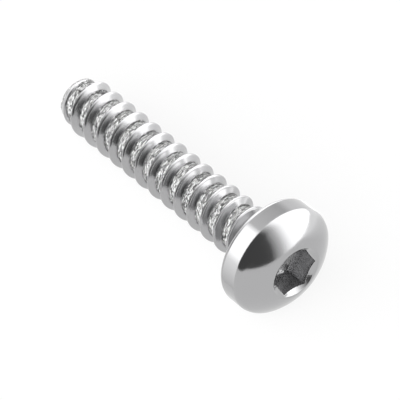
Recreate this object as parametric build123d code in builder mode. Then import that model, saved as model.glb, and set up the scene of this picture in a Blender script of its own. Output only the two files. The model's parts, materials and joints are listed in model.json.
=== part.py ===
from build123d import *
import os
from math import asin, atan2, ceil, cos, degrees, hypot, radians, sin, sqrt, tan

# Button head screw with a hexagon socket and a coarse thread-forming thread, millimetres.
# It is one solid and lies on its side, as it comes to rest on a table: the rim of the head
# and a crest of the thread near the tip touch z = 0.

# Head
head_diameter = 10.5
band_height = 2.05  # straight edge of the head, from the bearing face up to the crease
rim_radius = 0.5  # rounding between the bearing face and the band
crease_angle = 16.0  # how far the dome leans in where it leaves the crease, degrees
shoulder_radius = 2.25  # the dome next to the crease
shoulder_turn = 42.0  # how far the shoulder turns before the crown takes over, degrees
crown_radius = 6.0  # the dome from the shoulder to the mouth of the socket

# Socket
socket_size = 4.0  # across flats
socket_depth = 2.4  # from the mouth to the foot of the walls
mouth_diameter = 5.1  # round countersink at the mouth
countersink_slope = 30.0  # of the countersink, below the plane of the mouth, degrees
drill_slope = 20.0  # of the cone at the bottom of the socket, degrees
socket_turn = 24.0  # of one corner of the hexagon about the axis, degrees

# Shank and thread
shank_length = 26.2  # from the bearing face to the end of the tip
core_diameter = 4.0
thread_diameter = 5.2
thread_pitch = 1.8
ridge_base = 0.95  # width of the ridge where it leaves the core
crest_width = 0.22
ridge_sink = 0.12  # how deep the flanks run on into the core
first_crest = 3.0  # from the end of the tip to the crest that touches the table
tip_chamfer = 0.3
tip_clear = 0.35  # core without a ridge at the end of the tip
lead_in = 1.5  # length over which the crest rises from the core
run_out = 1.3  # length over which the crest dies away below the head
neck_flare = 0.7  # of the cone between the shank and the bearing face
plain_neck = 0.75  # shank without a ridge next to the head

head_radius = head_diameter / 2
core_radius = core_diameter / 2
thread_radius = thread_diameter / 2
mouth_radius = mouth_diameter / 2


def on_arc(centre, radius, angle):
    """The point of an arc at an angle from the radial direction, as radius and height."""
    return (centre[0] + radius * cos(angle), centre[1] + radius * sin(angle))


# The dome is two tangent arcs. Each centre follows from the slope at which its arc starts.
crease = (head_radius, band_height)
shoulder_start = radians(crease_angle)
shoulder_end = radians(crease_angle + shoulder_turn)
shoulder_centre = on_arc(crease, -shoulder_radius, shoulder_start)
shoulder_top = on_arc(shoulder_centre, shoulder_radius, shoulder_end)
crown_centre = on_arc(shoulder_top, -crown_radius, shoulder_end)
mouth_offset = mouth_radius - crown_centre[0]
head_height = crown_centre[1] + sqrt(crown_radius**2 - mouth_offset**2)
crown_end = atan2(head_height - crown_centre[1], mouth_offset)
shoulder_middle = on_arc(shoulder_centre, shoulder_radius, (shoulder_start + shoulder_end) / 2)
crown_middle = on_arc(crown_centre, crown_radius, (shoulder_end + crown_end) / 2)

# The thread: one right-hand ridge. A single turn is swept along a helix and repeated up the
# shank, then trimmed to the shape that the blank has when it is rolled, which is thin at the
# tip and under the head.
tip_end = -shank_length
ridge_start = tip_end + first_crest - 2 * thread_pitch
turn_count = ceil(-ridge_start / thread_pitch)
flank_run = (ridge_base - crest_width) / 2 / (thread_radius - core_radius)
foot_width = ridge_base + 2 * flank_run * ridge_sink

with BuildPart() as ridge_turn:
    with BuildLine():
        helix = Helix(thread_pitch, thread_pitch, core_radius)
    with BuildSketch(Plane.XZ):
        with BuildLine():
            Polyline(
                (core_radius - ridge_sink, -foot_width / 2),
                (thread_radius, -crest_width / 2),
                (thread_radius, crest_width / 2),
                (core_radius - ridge_sink, foot_width / 2),
                close=True,
            )
        make_face()
    sweep(path=helix, is_frenet=True)

with BuildPart() as ridge:
    with Locations([(0, 0, ridge_start + turn * thread_pitch) for turn in range(turn_count)]):
        add(ridge_turn.part, clean=False)
    with BuildSketch(Plane.XZ):
        buried = core_radius - ridge_sink / 2
        clear_of_crest = thread_radius + ridge_sink / 2
        with BuildLine():
            Polyline(
                (0, tip_end + tip_clear),
                (buried, tip_end + tip_clear),
                (clear_of_crest, tip_end + tip_clear + lead_in),
                (clear_of_crest, -plain_neck - run_out),
                (buried, -plain_neck),
                (0, -plain_neck),
                close=True,
            )
        make_face()
    revolve(axis=Axis.Z, mode=Mode.INTERSECT, clean=False)

# The whole screw standing on its tip: the bearing face is at z = 0 and the head is above it.
with BuildPart() as upright:
    with BuildSketch(Plane.XZ):
        with BuildLine():
            Polyline(
                (0, head_height),
                (0, tip_end),
                (core_radius - tip_chamfer, tip_end),
                (core_radius, tip_end + tip_chamfer),
                (core_radius, -neck_flare),
                (core_radius + neck_flare, 0),
                (head_radius - rim_radius, 0),
            )
            RadiusArc((head_radius - rim_radius, 0), (head_radius, rim_radius), -rim_radius)
            Line((head_radius, rim_radius), crease)
            ThreePointArc(crease, shoulder_middle, shoulder_top)
            ThreePointArc(shoulder_top, crown_middle, (mouth_radius, head_height))
            Line((mouth_radius, head_height), (0, head_height))
        make_face()
    revolve(axis=Axis.Z)

    # Countersink at the mouth, hexagon and the drilled cone at its bottom
    with BuildSketch(Plane.XZ):
        countersink_depth = mouth_radius * tan(radians(countersink_slope))
        with BuildLine():
            Polyline(
                (0, head_height),
                (mouth_radius, head_height),
                (0, head_height - countersink_depth),
                close=True,
            )
        make_face()
    revolve(axis=Axis.Z, mode=Mode.SUBTRACT)
    with BuildSketch(Plane.XY.offset(head_height)):
        RegularPolygon(socket_size / 2, 6, major_radius=False, rotation=socket_turn)
    extrude(amount=-socket_depth, mode=Mode.SUBTRACT)
    socket_floor = head_height - socket_depth
    with BuildSketch(Plane.XZ):
        with BuildLine():
            Polyline(
                (0, socket_floor),
                (socket_size / 2, socket_floor),
                (0, socket_floor - socket_size / 2 * tan(radians(drill_slope))),
                close=True,
            )
        make_face()
    revolve(axis=Axis.Z, mode=Mode.SUBTRACT)

    add(ridge.part, clean=False)

# The screw leans on a line from the crest that touches the table to the rounding of the rim.
rim_ahead = rim_radius - (tip_end + first_crest)
rim_below = head_radius - rim_radius - thread_radius
lean = atan2(rim_below, rim_ahead) + asin(rim_radius / hypot(rim_ahead, rim_below))
laid_down = Location((0, 0, 0), (0, 90 - degrees(lean), 0))
span = upright.part.moved(laid_down).bounding_box()
rest_place = Location((-span.center().X, 0, -span.min.Z), (0, 90 - degrees(lean), 0))

with BuildPart() as button_head_screw:
    with Locations(rest_place):
        add(upright.part)
button_head_screw.part.label = "button_head_screw"

os.makedirs("parts", exist_ok=True)
export_step(button_head_screw.part, "parts/button_head_screw.step")
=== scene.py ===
import json
import math

import bpy
import numpy as np
from mathutils import Matrix, Vector, noise


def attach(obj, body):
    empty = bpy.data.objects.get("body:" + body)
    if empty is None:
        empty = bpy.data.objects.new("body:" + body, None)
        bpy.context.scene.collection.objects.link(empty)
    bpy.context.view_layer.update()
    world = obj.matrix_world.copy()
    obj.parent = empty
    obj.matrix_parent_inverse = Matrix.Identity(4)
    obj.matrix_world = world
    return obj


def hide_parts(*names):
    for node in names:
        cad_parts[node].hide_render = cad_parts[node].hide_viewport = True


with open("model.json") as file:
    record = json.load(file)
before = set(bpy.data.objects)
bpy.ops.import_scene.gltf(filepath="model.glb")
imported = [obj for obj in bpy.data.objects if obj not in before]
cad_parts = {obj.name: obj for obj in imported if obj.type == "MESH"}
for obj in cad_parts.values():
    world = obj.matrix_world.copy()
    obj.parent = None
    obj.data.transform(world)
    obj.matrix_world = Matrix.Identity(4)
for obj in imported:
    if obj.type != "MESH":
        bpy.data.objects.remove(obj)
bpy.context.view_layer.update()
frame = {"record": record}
mm = 0.001
twoPi = 2 * math.pi

# The screw is made standing on its tip, in millimetres: z runs up its axis, and the bearing
# face under the head is at 0. It is turned into its place on the table at the end.
screw = {
    "columns": 180,  # a multiple of six, so that the corners of the hexagon fall on columns
    # head
    "headRadius": 5.25,
    "bandHeight": 2.0,  # from the bearing face up to the crease
    "rimRadius": 0.5,  # rounding between the bearing face and the band
    "creaseAngle": math.radians(11.3),  # how far the dome leans in where it leaves the crease
    "creaseInset": 0.006,  # the crease is eased by this much inwards
    "creaseDrop": 0.015,  # and by this much downwards
    "creaseStep": 0.025,  # from the crease to the first row of the dome
    "shoulderRadius": 1.26,  # the dome next to the crease
    "shoulderTurn": math.radians(33.7),
    "crownRadius": 5.77,  # the dome from the shoulder to the mouth of the socket
    "bandRows": (1.1, 0.6, 0.2, 0.06),  # rows of the band, counted down from the crease
    "bearingRows": 6,
    "rimRows": 8,
    "shoulderRows": 12,
    "crownRows": 14,
    # socket
    "mouthRadius": 2.55,
    "mouthInset": 0.03,  # the edge of the mouth is eased by this much inwards
    "mouthDrop": 0.004,  # and by this much downwards
    "countersink": math.radians(30.0),  # its slope below the plane of the mouth
    "countersinkInset": 0.05,  # from the mouth to where the spacing of its rows begins
    "countersinkRows": 6,
    "hexHalf": 2.0,  # half of the size across flats
    "hexDepth": 2.4,  # from the mouth to the foot of the walls
    "hexTurn": math.radians(24.0),  # of one corner about the axis
    "wallInset": 0.02,  # how far the walls stand in below their upper edge
    "wallRows": (0.06, 0.25, 0.5, 0.75, 0.97),  # shares of the way down
    "drill": math.radians(20.0),  # slope of the cone at the bottom
    "drillRows": (0.97, 0.75, 0.5, 0.25, 0.08),  # shares of the way out
    # shank and thread
    "length": 26.2,  # from the bearing face to the end of the tip
    "coreRadius": 2.0,
    "crestRadius": 2.6,
    "pitch": 1.8,
    "ridgeBase": 0.95,  # width of the ridge where it leaves the core
    "ridgeTop": 0.22,
    "crestRound": 0.1,
    "footRound": 0.07,
    "fadeRound": 0.05,  # where the ridge begins to sink at its two ends
    "firstCrest": 3.0,  # from the end of the tip
    "tipClear": 0.35,  # core without a ridge at the tip
    "leadIn": 1.5,
    "runOut": 1.3,
    "plainNeck": 0.75,  # core without a ridge below the head
    "neckRadius": 0.7,  # of the fillet between the shank and the bearing face
    "neckRows": 7,
    "turnStops": (-0.55, -0.2, 0.2, 0.55),  # from a crest, where the rows change their spacing
    "turnRows": (5, 5, 10, 5, 5),  # closest together on the crest
    "rowClear": 0.03,  # the least distance of such a row from the ends of the shank
    # tip
    "tipChamfer": 0.3,
    "tipHollow": 0.08,  # how deep the middle of the end face lies
    "tipFace": [(0.7, 0.07), (1.2, 0.03)],  # radius and height of the rings round the middle
    "tipEdge": (0.05, 0.01),  # the edge of the face is eased by this much inwards and upwards
    "tipRows": (0.35, 0.7),  # shares of the way up the chamfer
    "tipWave": 0.02,  # how far the tip is out of round
    "tipNoise": (3.0, 1.0, 7),  # waves around, waves along, shift
    "tipSkin": 0.6,  # how torn the skin of the tip is, from 0 to 1
    # torn skin in the roots of the thread
    "skinDepth": 0.05,
    "skinTop": (0.02, 0.16),  # shares of the ridge's height between which it ends
    "skinNeck": (-0.65, -1.25),  # heights between which it begins below the head
    "skinCoarse": (5.5, 5.0, 0),  # noise as for the tip
    "skinFine": (11.0, 9.0, 40),
    "skinMix": (-1.1, 0.7),  # shares of the coarse and the fine noise
    # painted shadow: a dark line along the two feet of the ridge, where shade falls in the crease
    "paintedFootShadowOut": 0.02,  # from the foot of the flank
    "paintedFootShadowWidth": 0.06,
    "paintedFootShadowTip": (0.7, 1.6),  # from the end of the tip, where it begins
    "paintedFootShadowNeck": (-1.0, -1.6),  # heights where it ends below the head
    "patternAlong": 0.06,  # scale of the pattern along the axis, on the head and the tip
    "sharpAngle": math.radians(40),  # edges sharper than this aren't smoothed
}

columnAngle = screw["hexTurn"] + twoPi * np.arange(screw["columns"]) / screw["columns"]
tipEnd = -screw["length"]
ridgeTall = screw["crestRadius"] - screw["coreRadius"]


def arcPoint(centre, radius, angle):
    return (centre[0] + radius * math.cos(angle), centre[1] + radius * math.sin(angle))


def smoothMin(a, b, soft):
    share = np.clip(0.5 + 0.5 * (b - a) / soft, 0, 1)
    return b + (a - b) * share - soft * share * (1 - share)


def smoothStep(start, end, x):
    share = np.clip((x - start) / (end - start), 0, 1)
    return share * share * (3 - 2 * share)


def noiseRound(angle, z, around, along, shift):
    # closes on itself round the axis
    spots = zip(np.cos(angle) * around + shift, np.sin(angle) * around, z * along)
    return np.array([noise.noise(spot) for spot in spots])


def fromCrest(angle, z):
    # distance along the axis from the nearest crest, negative below it
    pitch = screw["pitch"]
    crestAt = tipEnd + screw["firstCrest"] + pitch * angle / twoPi
    return np.mod(z - crestAt + pitch / 2, pitch) - pitch / 2


def ridgeHeight(angle, z):
    slope = ridgeTall / ((screw["ridgeBase"] - screw["ridgeTop"]) / 2)
    high = slope * (screw["ridgeBase"] / 2 - np.abs(fromCrest(angle, z)))
    fadeIn = (z - tipEnd - screw["tipClear"]) / screw["leadIn"] * ridgeTall
    fadeOut = (-screw["plainNeck"] - z) / screw["runOut"] * ridgeTall
    high = smoothMin(high, ridgeTall, screw["crestRound"])
    high = smoothMin(high, np.minimum(fadeIn, fadeOut), screw["fadeRound"])
    return -smoothMin(-high, 0.0, screw["footRound"])


def shankRadius(angle, z):
    # the radius, and how torn the skin is there
    high = ridgeHeight(angle, z)
    torn = 1 - smoothStep(*screw["skinTop"], high / ridgeTall)
    torn = torn * smoothStep(*screw["skinNeck"], z)
    coarse = noiseRound(angle, z, *screw["skinCoarse"])
    fine = noiseRound(angle, z, *screw["skinFine"])
    relief = np.abs(coarse) * screw["skinMix"][0] + fine * screw["skinMix"][1]
    return screw["coreRadius"] + high + torn * screw["skinDepth"] * relief, torn


def paintedFootShadowAt(angle, z):
    # 1 along the two feet of the ridge, where the shadow is painted, 0 elsewhere
    paintedFootShadowTip = [tipEnd + at for at in screw["paintedFootShadowTip"]]
    alive = smoothStep(*paintedFootShadowTip, z) * smoothStep(*screw["paintedFootShadowNeck"], z)
    off = np.abs(fromCrest(angle, z)) - screw["ridgeBase"] / 2 - screw["paintedFootShadowOut"]
    return np.exp(-(off / screw["paintedFootShadowWidth"]) ** 2) * alive


def grooveAt(angle, z):
    # millimetres along the groove and across it, without a break where the columns meet
    turns = (z - tipEnd - screw["firstCrest"]) / screw["pitch"] - angle / twoPi
    whole = np.floor(turns)
    return np.column_stack([
        (whole * twoPi + angle) * screw["coreRadius"],
        (turns - whole - 0.5) * screw["pitch"],
        np.zeros(len(z)),
    ])


def headProfile():
    # radius and height from the bearing face round the head to the mouth of the socket
    edge, band, rim = screw["headRadius"], screw["bandHeight"], screw["rimRadius"]
    shoulder, crown = screw["shoulderRadius"], screw["crownRadius"]
    leaving = screw["creaseAngle"]
    turned = leaving + screw["shoulderTurn"]
    shoulderCentre = arcPoint((edge, band), -shoulder, leaving)
    shoulderTop = arcPoint(shoulderCentre, shoulder, turned)
    crownCentre = arcPoint(shoulderTop, -crown, turned)
    mouthAngle = math.acos((screw["mouthRadius"] - crownCentre[0]) / crown)

    inner = screw["coreRadius"] + screw["neckRadius"]
    points = [(r, 0.0) for r in np.linspace(inner, edge - rim, screw["bearingRows"])]
    for angle in np.linspace(-math.pi / 2, 0, screw["rimRows"])[1:]:
        points.append(arcPoint((edge - rim, rim), rim, angle))
    for below in screw["bandRows"]:
        points.append((edge, band - below))
    points.append((edge - screw["creaseInset"], band - screw["creaseDrop"]))
    step = screw["creaseStep"] / shoulder  # a narrow row next to the crease, then even ones
    points.append(arcPoint(shoulderCentre, shoulder, leaving + step))
    for angle in np.linspace(leaving + 3 * step, turned, screw["shoulderRows"]):
        points.append(arcPoint(shoulderCentre, shoulder, angle))
    for angle in np.linspace(turned, mouthAngle, screw["crownRows"])[1:]:
        points.append(arcPoint(crownCentre, crown, angle))
    return points, crownCentre[1] + crown * math.sin(mouthAngle)


headPoints, headHeight = headProfile()

# what the steel needs to know of each spot: torn skin, inside the socket, painted shadow along the
# feet of the ridge (the foot mark), rolled
marks = ("root", "socket", "foot", "shank")


def addSpots(made, spots, pattern=None, **marked):
    # a mark that isn't given is 0
    for name in marks:
        made[name].append(np.broadcast_to(marked.get(name, 0.0), len(spots)))
    if pattern is None:
        pattern = spots * (1, 1, screw["patternAlong"])
    made["pattern"].append(pattern)
    made["spots"].append(spots)
    start = made["count"]
    made["count"] += len(spots)
    return range(start, made["count"])


def addRing(made, radius, z, **marked):
    spots = np.empty((screw["columns"], 3))
    spots[:, 0] = radius * np.cos(columnAngle)
    spots[:, 1] = radius * np.sin(columnAngle)
    spots[:, 2] = z
    return addSpots(made, spots, **marked)


def joinRings(made, below, above):
    for i in range(len(above)):
        j = (i + 1) % len(above)
        made["faces"].append((below[i], below[j], above[j], above[i]))


def stackRings(made, below, rings, **marked):
    # each ring is a radius and a height, and is joined to the one before
    for radius, z in rings:
        above = addRing(made, radius, z, **marked)
        joinRings(made, below, above)
        below = above
    return below


def addTip(made):
    core, chamfer = screw["coreRadius"], screw["tipChamfer"]
    face = screw["tipFace"]
    marked = {"root": screw["tipSkin"], "shank": 1.0}
    middle = np.array([[0.0, 0.0, tipEnd + screw["tipHollow"]]])
    centre = addSpots(made, middle, shank=1.0)[0]
    inner = addRing(made, face[0][0], tipEnd + face[0][1], **marked)
    for i in range(len(inner)):
        made["faces"].append((centre, inner[(i + 1) % len(inner)], inner[i]))

    wave = screw["tipWave"] * noiseRound(columnAngle, columnAngle * 0, *screw["tipNoise"])
    inset, lift = screw["tipEdge"]
    rings = face[1:] + [(core - chamfer - inset, 0.0), (core - chamfer, lift)]
    rings += [(core - chamfer * (1 - up), chamfer * up) for up in screw["tipRows"]]
    return stackRings(made, inner, [(r + wave, tipEnd + z) for r, z in rings], **marked)


def addShank(made, below):
    # every column has its own rows, which follow the helix and are closer together on the crest
    count, pitch = screw["columns"], screw["pitch"]
    low = tipEnd + screw["tipChamfer"]
    high = -screw["neckRadius"]
    stops = (-pitch / 2, *screw["turnStops"], pitch / 2)
    rows = np.concatenate([
        np.linspace(start, end, many, endpoint=False)
        for start, end, many in zip(stops, stops[1:], screw["turnRows"])
    ])
    spare = 4  # turns beyond the ends, which the next lines cut off
    turns = np.arange(-spare, int(screw["length"] / pitch) + spare)
    stack = (turns[:, None] * pitch + rows[None, :]).ravel()
    columns = []
    for angle in columnAngle:
        z = stack + tipEnd + screw["firstCrest"] + pitch * angle / twoPi
        kept = (z > low + screw["rowClear"]) & (z < high - screw["rowClear"])
        columns.append((np.nonzero(kept)[0], z[kept]))

    rims = []
    for z in (low, high):
        heights = np.full(count, z)
        radius, torn = shankRadius(columnAngle, heights)
        groove = grooveAt(columnAngle, heights)
        rims.append(addRing(made, radius, z, pattern=groove, root=torn, shank=1.0))
    first, last = rims
    joinRings(made, below, first)

    angles = np.concatenate([np.full(len(z), a) for a, (_, z) in zip(columnAngle, columns)])
    heights = np.concatenate([z for _, z in columns])
    radius, torn = shankRadius(angles, heights)
    spots = np.column_stack([radius * np.cos(angles), radius * np.sin(angles), heights])
    # the foot mark carries the painted shadow along the feet of the ridge
    groove, paintedFootShadow = grooveAt(angles, heights), paintedFootShadowAt(angles, heights)
    start = addSpots(made, spots, pattern=groove, root=torn, foot=paintedFootShadow, shank=1.0)[0]

    # neighbours are joined row by row, and where the columns meet, one turn further up
    index = []
    for kept, _ in columns:
        index.append({row: start + i for i, row in enumerate(kept.tolist())})
        start += len(kept)
    for i in range(count):
        j = (i + 1) % count
        shift = len(rows) if j == 0 else 0
        here = index[i]
        there = {row - shift: at for row, at in index[j].items()}
        bottom, top = max(min(here), min(there)), min(max(here), max(there))
        for row in range(bottom, top):
            made["faces"].append((here[row], there[row], there[row + 1], here[row + 1]))
        up = [there[row] for row in range(min(there), bottom + 1)]
        down = [here[row] for row in range(bottom, min(here) - 1, -1)]
        made["faces"].append((first[i], first[j], *up, *down))
        down = [here[row] for row in range(max(here), top - 1, -1)]
        up = [there[row] for row in range(top, max(there) + 1)]
        made["faces"].append((last[j], last[i], *down, *up))
    return last


def addHead(made, below):
    core, fillet = screw["coreRadius"], screw["neckRadius"]
    rings = []
    for angle in np.linspace(0, math.pi / 2, screw["neckRows"])[1:-1]:
        rings.append((core + fillet * (1 - math.cos(angle)), -fillet * (1 - math.sin(angle))))
    return stackRings(made, below, rings + headPoints)


def addSocket(made, below):
    mouth, half = screw["mouthRadius"], screw["hexHalf"]
    nudge = 1e-9  # keeps the columns at the corners from falling either side of them
    fromFlat = np.mod(columnAngle - screw["hexTurn"] + nudge, math.pi / 3) - math.pi / 6
    hexRadius = half / np.cos(fromFlat)
    slope = math.tan(screw["countersink"])
    rings = [(mouth - screw["mouthInset"], headHeight - screw["mouthDrop"])]
    for share in np.linspace(0, 1, screw["countersinkRows"])[1:-1]:
        radius = (mouth - screw["countersinkInset"]) * (1 - share) + hexRadius * share
        rings.append((radius, headHeight - (mouth - radius) * slope))
    below = stackRings(made, below, rings)

    edge = headHeight - (mouth - hexRadius) * slope
    foot = headHeight - screw["hexDepth"]
    rings = [(hexRadius, edge)]
    for share in screw["wallRows"]:
        rings.append((hexRadius - screw["wallInset"], edge * (1 - share) + foot * share))
    for share in screw["drillRows"]:
        fall = (half - np.minimum(hexRadius * share, half)) * math.tan(screw["drill"])
        rings.append((hexRadius * share, foot - fall))
    below = stackRings(made, below, rings, socket=1.0)
    bottom = np.array([[0.0, 0.0, foot - half * math.tan(screw["drill"])]])
    centre = addSpots(made, bottom, socket=1.0)[0]
    for i in range(len(below)):
        made["faces"].append((centre, below[i], below[(i + 1) % len(below)]))


def addLayer(mesh, name, values):
    kind, field = ("FLOAT", "value") if values.ndim == 1 else ("FLOAT_VECTOR", "vector")
    layer = mesh.attributes.new(name, kind, "POINT")
    layer.data.foreach_set(field, values.ravel().astype(np.float32))


def buildScrewMesh():
    made = {name: [] for name in ("spots", "faces", "pattern", *marks)}
    made["count"] = 0
    tip = addTip(made)
    shank = addShank(made, tip)
    head = addHead(made, shank)
    addSocket(made, head)
    mesh = bpy.data.meshes.new("screw")
    mesh.from_pydata((np.concatenate(made["spots"]) * mm).tolist(), [], made["faces"])
    mesh.validate()
    for name in ("pattern", *marks):
        addLayer(mesh, name, np.concatenate(made[name]))
    mesh.update()
    return mesh


def addNode(tree, kind, inputs=None, **settings):
    # each input is joined to another node's output, or set to a value
    node = tree.nodes.new("ShaderNode" + kind)
    for name, value in settings.items():
        setattr(node, name, value)
    for name, value in (inputs or {}).items():
        if isinstance(value, bpy.types.NodeSocket):
            tree.links.new(value, node.inputs[name])
        else:
            node.inputs[name].default_value = value
    return node


def mask(tree, name):
    return addNode(tree, "Attribute", attribute_name=name).outputs["Fac"]


def mix(tree, share, a, b, kind="FLOAT"):
    inputs = {"Factor": share, "A": a, "B": b}
    return addNode(tree, "Mix", inputs, data_type=kind).outputs["Result"]


def remap(tree, value, given, wanted=(0.0, 1.0), curve="LINEAR"):
    inputs = {"Value": value, "From Min": given[0], "From Max": given[1]}
    inputs.update({"To Min": wanted[0], "To Max": wanted[1]})
    return addNode(tree, "MapRange", inputs, interpolation_type=curve).outputs[0]


def calc(tree, operation, *values):
    return addNode(tree, "Math", dict(enumerate(values)), operation=operation).outputs[0]


def calcVector(tree, operation, *values):
    inputs = dict(enumerate(values))
    node = addNode(tree, "VectorMath", inputs, operation=operation)
    return node.outputs["Value" if operation == "DOT_PRODUCT" else "Vector"]


def noiseNode(tree, spot, scale, detail):
    return addNode(tree, "TexNoise", {"Vector": spot, "Scale": scale, "Detail": detail})


def bumpNode(tree, height, strength, depth, under=None):
    inputs = {"Height": height, "Strength": strength, "Distance": depth * mm}
    if under is not None:
        inputs["Normal"] = under
    return addNode(tree, "Bump", inputs).outputs[0]


# finish of the steel, with depths in millimetres
steel = {
    "tone": (0.42, 0.42, 0.425, 1),
    "gloss": 0.2,  # of what isn't bare metal
    "polish": (0.09, 0.14),  # roughness between the clouds in the polish and in them
    "cloud": (900, 4),  # noise: waves in a metre, and detail
    "grit": (7000, 2),  # the same
    "gritDepth": 0.0025,
    "shankRoughness": 0.2,
    # torn skin in the roots
    "rootRoughness": 0.3,
    "rootMetal": 0.15,  # how much of a mirror it is
    "rootDepth": 0.13,
    "flakeDraw": (2.3, 8.5, 1),  # flakes in a millimetre along the groove and across it
    "flakeChance": (0.1, 0.42),  # the lower, the more flakes are bright
    "flakeShade": (0.35, 1.0),  # tone of the darkest and of the brightest flake
    "flakeHeight": 0.5,  # against the grain
    "stir": (1.3, 2),  # noise that bends the flakes: waves in a flake, and detail
    "stirReach": (1.4, 1.05, 0),  # how far, in flakes
    "grain": (1.1, 3),  # noise as for stir
    "gapWidth": (0.02, 0.12),  # in flakes from an edge, where the dark gap ends
    # painted shade in the sunken gaps between the flakes
    "gapPaintedShade": (0.01, 0.01, 0.01, 1),
    # painted shadow along the feet of the ridge
    "paintedFootShadowTone": (0.02, 0.02, 0.02, 1),
    "paintedFootShadowGrain": (0.38, 0.55),  # the grain between which the painted shadow goes from broken to whole
    "paintedFootShadowShare": (0.15, 0.9),  # how dark it is where it is broken and where it is whole
    # walls of the socket
    "socketTone": (0.5, 0.5, 0.505, 1),
    "socketRoughness": 0.22,
    "broach": (8, 2),  # noise: waves in a millimetre, and detail
    "broachDepth": 0.04,
}


def makeSteel():
    material = bpy.data.materials.new("brightSteel")
    material.use_nodes = True
    tree = material.node_tree
    tree.nodes.clear()
    root, socket, foot, shank = [mask(tree, name) for name in marks]
    spot = addNode(tree, "TexCoord").outputs["Object"]
    pattern = addNode(tree, "Attribute", attribute_name="pattern").outputs["Vector"]

    # faint clouds in the polish of the head, duller where it was rolled, torn or broached
    cloud = noiseNode(tree, spot, *steel["cloud"]).outputs["Fac"]
    rough = remap(tree, cloud, (0.0, 1.0), steel["polish"])
    rough = mix(tree, shank, rough, steel["shankRoughness"])
    rough = mix(tree, root, rough, steel["rootRoughness"])
    rough = mix(tree, socket, rough, steel["socketRoughness"])

    # flakes drawn out along the groove, each with its own tone, and painted shade in the sunken
    # gaps between them
    drawn = calcVector(tree, "MULTIPLY", pattern, steel["flakeDraw"])
    stir = noiseNode(tree, drawn, *steel["stir"]).outputs["Color"]
    stirred = calcVector(tree, "MULTIPLY_ADD", stir, steel["stirReach"], drawn)
    inputs = {"Vector": stirred, "Scale": 1.0}
    flake = addNode(tree, "TexVoronoi", inputs, feature="DISTANCE_TO_EDGE").outputs["Distance"]
    cell = addNode(tree, "TexVoronoi", inputs, feature="F1").outputs["Color"]
    chance = addNode(tree, "SeparateColor", {0: cell}).outputs[0]
    gap = remap(tree, flake, steel["gapWidth"])
    shade = remap(tree, chance, steel["flakeChance"], steel["flakeShade"])
    torn = mix(tree, gap, steel["gapPaintedShade"], shade, "RGBA")
    tone = mix(tree, root, steel["tone"], torn, "RGBA")

    # painted shadow along the feet of the ridge, where shade falls in the crease, broken by the
    # grain
    grain = noiseNode(tree, drawn, *steel["grain"]).outputs["Fac"]
    broken = remap(tree, grain, steel["paintedFootShadowGrain"], steel["paintedFootShadowShare"])
    paintedFootShadow = calc(tree, "MULTIPLY", foot, broken)
    tone = mix(tree, paintedFootShadow, tone, steel["paintedFootShadowTone"], "RGBA")
    tone = mix(tree, socket, tone, steel["socketTone"], "RGBA")

    # marks of the broach in the socket, faint grit all over and the relief of the flakes
    broach = noiseNode(tree, pattern, *steel["broach"]).outputs["Fac"]
    grit = noiseNode(tree, spot, *steel["grit"]).outputs["Fac"]
    flakes = calc(tree, "MULTIPLY_ADD", gap, steel["flakeHeight"], grain)
    normal = bumpNode(tree, broach, socket, steel["broachDepth"])
    normal = bumpNode(tree, grit, 1.0, steel["gritDepth"], normal)
    normal = bumpNode(tree, flakes, root, steel["rootDepth"], normal)

    shader = addNode(tree, "BsdfPrincipled", {
        "Base Color": tone,
        "Metallic": remap(tree, root, (0.0, 1.0), (1.0, steel["rootMetal"])),
        "Roughness": rough,
        "Specular IOR Level": steel["gloss"],
        "Normal": normal,
    })
    addNode(tree, "OutputMaterial", {"Surface": shader.outputs[0]})
    print("steel:", len(tree.nodes), "nodes")
    return material


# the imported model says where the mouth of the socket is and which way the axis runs
mouthMount = [m for m in frame["record"]["mounts"] if m["name"] == "hexagon_socket"][0]
axis = Vector(mouthMount["axis"]).normalized()
bearing = Vector(mouthMount["pos_m"]) - axis * headHeight * mm
side = Vector((0, 1, 0))
down = side.cross(axis).normalized()
laidDown = Matrix((down, side, axis)).transposed().to_4x4()
laidDown.translation = bearing

mesh = buildScrewMesh()
piece = bpy.data.objects.new("screwPiece", mesh)
bpy.context.collection.objects.link(piece)
mesh.transform(laidDown)
mesh.shade_smooth()
mesh.set_sharp_from_angle(angle=screw["sharpAngle"])
mesh.materials.append(makeSteel())
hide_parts("button_head_screw")
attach(piece, "root")
triangles = sum(len(face.vertices) - 2 for face in mesh.polygons)
print("screw:", len(mesh.polygons), "faces,", triangles, "triangles")


def fromAngles(azimuth, elevation):
    # azimuth 0 points along -y and 90 along x, in degrees
    a, e = math.radians(azimuth), math.radians(elevation)
    return Vector((math.sin(a) * math.cos(e), -math.cos(a) * math.cos(e), math.sin(e)))


shot = {
    "azimuth": 50.112,  # degrees
    "elevation": 50.095,
    "distance": 379.08 * mm,
    "right": 5.6266 * mm,  # how far the bearing face is to the right of the middle
    "up": -4.1733 * mm,
    "lens": 396.0,  # millimetres
    "sensor": 36.0,
    "clip": (0.01, 10.0),
}


def setCamera():
    a = math.radians(shot["azimuth"])
    back = fromAngles(shot["azimuth"], shot["elevation"])
    right = Vector((math.cos(a), math.sin(a), 0))
    up = back.cross(right)
    data = bpy.data.cameras.new("camera")
    data.lens = shot["lens"]
    data.sensor_width = shot["sensor"]
    data.clip_start, data.clip_end = shot["clip"]
    camera = bpy.data.objects.new("camera", data)
    bpy.context.collection.objects.link(camera)
    middle = bearing - right * shot["right"] - up * shot["up"]
    camera.matrix_world = Matrix((right, up, back)).transposed().to_4x4()
    camera.matrix_world.translation = middle + back * shot["distance"]
    bpy.context.scene.camera = camera
    print("camera:", round(shot["distance"] / mm), "mm away")


setCamera()

paper = {
    "reach": 3.0,  # metres from the middle to each side
    "tone": (0.15, 0.15, 0.15, 1),
    "roughness": 0.9,
    "glow": 0.845,  # lifts the floor to white
    "wallWay": (-0.6, 0.8, 0),  # roughly towards the lit wall
    "wallFrom": (0.001, 0.02),  # metres that way between which the glow in the metal grows
    "wallGlow": (1.0, 1.6),
}


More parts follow.
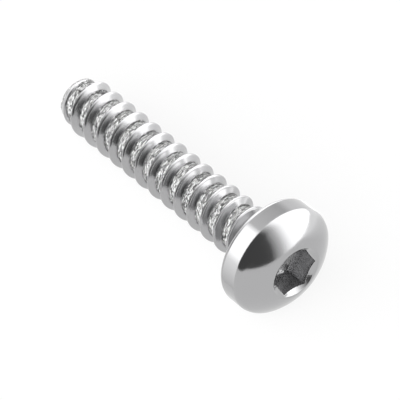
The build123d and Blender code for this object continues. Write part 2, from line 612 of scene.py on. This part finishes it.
def makeFloor():
    reach = paper["reach"]
    corners = [(-reach, -reach, 0), (reach, -reach, 0), (reach, reach, 0), (-reach, reach, 0)]
    mesh = bpy.data.meshes.new("floor")
    mesh.from_pydata(corners, [], [(0, 1, 2, 3)])
    floor = bpy.data.objects.new("floor", mesh)
    bpy.context.collection.objects.link(floor)
    material = bpy.data.materials.new("palePaper")
    material.use_nodes = True
    tree = material.node_tree
    shader = tree.nodes["Principled BSDF"]
    shader.inputs["Base Color"].default_value = paper["tone"]
    shader.inputs["Roughness"].default_value = paper["roughness"]
    shader.inputs["Specular IOR Level"].default_value = 0.0

    # lifted to white for the camera and for what the metal shows, brighter towards the lit wall
    rays = addNode(tree, "LightPath").outputs
    spot = addNode(tree, "TexCoord").outputs["Object"]
    ahead = calcVector(tree, "DOT_PRODUCT", spot, paper["wallWay"])
    ahead = remap(tree, ahead, paper["wallFrom"], paper["wallGlow"])
    seen = calc(tree, "ADD", rays["Is Camera Ray"], rays["Is Transmission Ray"])
    inMetal = calc(tree, "MULTIPLY", rays["Is Glossy Ray"], ahead)
    glow = calc(tree, "MULTIPLY", calc(tree, "ADD", seen, inMetal), paper["glow"])
    shader.inputs["Emission Color"].default_value = (1, 1, 1, 1)
    tree.links.new(glow, shader.inputs["Emission Strength"])
    mesh.materials.append(material)
    print("floor:", 2 * reach, "m across")
    return floor


# a lit wall on one side of the screw, a dark room on the other and a soft edge between them
room = {
    "brightSide": fromAngles(191, 0),  # where the lit wall is
    "strength": 3.0,
    # how far a direction leans towards the bright side, -1 to 1, and the share of full light there
    "ramp": [
        (-1.0, 0.035), (-0.42, 0.038), (-0.25, 0.048), (-0.18, 0.138), (-0.07, 0.262), (0.0, 0.32),
        (0.13, 0.55), (0.18, 0.66), (0.27, 0.8), (0.45, 0.9), (1.0, 0.9),
    ],
    "greySide": fromAngles(-66, 28),  # a soft grey spot in the dark room
    "greySize": (0.8, 0.97),
    "grey": 0.12,
    "matteSide": fromAngles(0, 6),  # where the light on matte surfaces comes from
    "matteLight": (3.5, 0.12),  # straight from there, and from everywhere
}


def makeRoom():
    world = bpy.data.worlds.new("studio")
    bpy.context.scene.world = world
    world.use_nodes = True
    tree = world.node_tree
    way = addNode(tree, "TexCoord").outputs["Generated"]
    lean = calcVector(tree, "DOT_PRODUCT", way, room["brightSide"])
    ramp = addNode(tree, "ValToRGB", {"Fac": remap(tree, lean, (-1.0, 1.0))})
    stops = ramp.color_ramp.elements
    stops.remove(stops[1])
    stops[0].position = 0
    for at, share in room["ramp"]:
        stop = stops[0] if at == -1.0 else stops.new((at + 1) / 2)
        stop.color = (share, share, share, 1)
    lean = calcVector(tree, "DOT_PRODUCT", way, room["greySide"])
    grey = remap(tree, lean, room["greySize"], (0.0, room["grey"]), "SMOOTHSTEP")
    light = calc(tree, "ADD", ramp.outputs["Color"], grey)
    light = calc(tree, "MULTIPLY", light, room["strength"])
    lean = calcVector(tree, "DOT_PRODUCT", way, room["matteSide"])
    matte = calc(tree, "MULTIPLY_ADD", calc(tree, "MAXIMUM", lean, 0.0), *room["matteLight"])
    onMatte = addNode(tree, "LightPath").outputs["Is Diffuse Ray"]
    back = tree.nodes["Background"]
    back.inputs["Color"].default_value = (1, 1, 1, 1)
    tree.links.new(mix(tree, onMatte, light, matte), back.inputs["Strength"])
    print("room:", len(room["ramp"]), "steps of light")


# two strips of glowing paper bent round the head, so near that mostly its band shows them
strips = {
    "away": 6.0,  # millimetres from the band
    "reach": (-0.6, 3.0),  # along the axis, from the bearing face
    "steps": 40,
    # angles round the axis, 180 at the top and 270 at the left, and the light there
    "light": {
        "greyStrip": [(124, 2.0), (134, 1.2), (160, 1.15), (168, 0.76), (200, 1.05)],
        "whiteStrip": [(200, 1.05), (206, 2.6), (232, 2.6), (240, 1.65), (268, 0.9)],
    },
}


def makeStrip(name, stops):
    toCamera = laidDown.to_3x3().inverted() @ bpy.context.scene.camera.matrix_world.col[2].xyz
    degrees = np.linspace(stops[0][0], stops[-1][0], strips["steps"])
    light = np.interp(degrees, [at for at, _ in stops], [share for _, share in stops])
    spots, faces = [], []
    for angle in np.radians(degrees):
        outward = Vector((math.cos(angle), math.sin(angle), 0))
        mirrored = 2 * outward.dot(toCamera) * outward - toCamera
        foot = screw["headRadius"] * outward + strips["away"] * mirrored
        for z in strips["reach"]:
            spots.append(laidDown @ ((foot + Vector((0, 0, z))) * mm))
    for i in range(0, len(spots) - 2, 2):
        faces.append((i, i + 1, i + 3, i + 2))
    mesh = bpy.data.meshes.new(name)
    mesh.from_pydata(spots, [], faces)
    addLayer(mesh, "glow", np.repeat(light, 2))
    strip = bpy.data.objects.new(name, mesh)
    bpy.context.collection.objects.link(strip)
    material = bpy.data.materials.new(name)
    material.use_nodes = True
    tree = material.node_tree
    tree.nodes.clear()
    glow = addNode(tree, "Emission", {"Strength": mask(tree, "glow")})
    addNode(tree, "OutputMaterial", {"Surface": glow.outputs[0]})
    mesh.materials.append(material)
    strip.visible_camera = strip.visible_diffuse = strip.visible_shadow = False
    print("strip:", name)
    return strip


floor = makeFloor()
makeRoom()
cards = [makeStrip(name, stops) for name, stops in strips["light"].items()]
bpy.context.scene.view_settings.view_transform = "Standard"
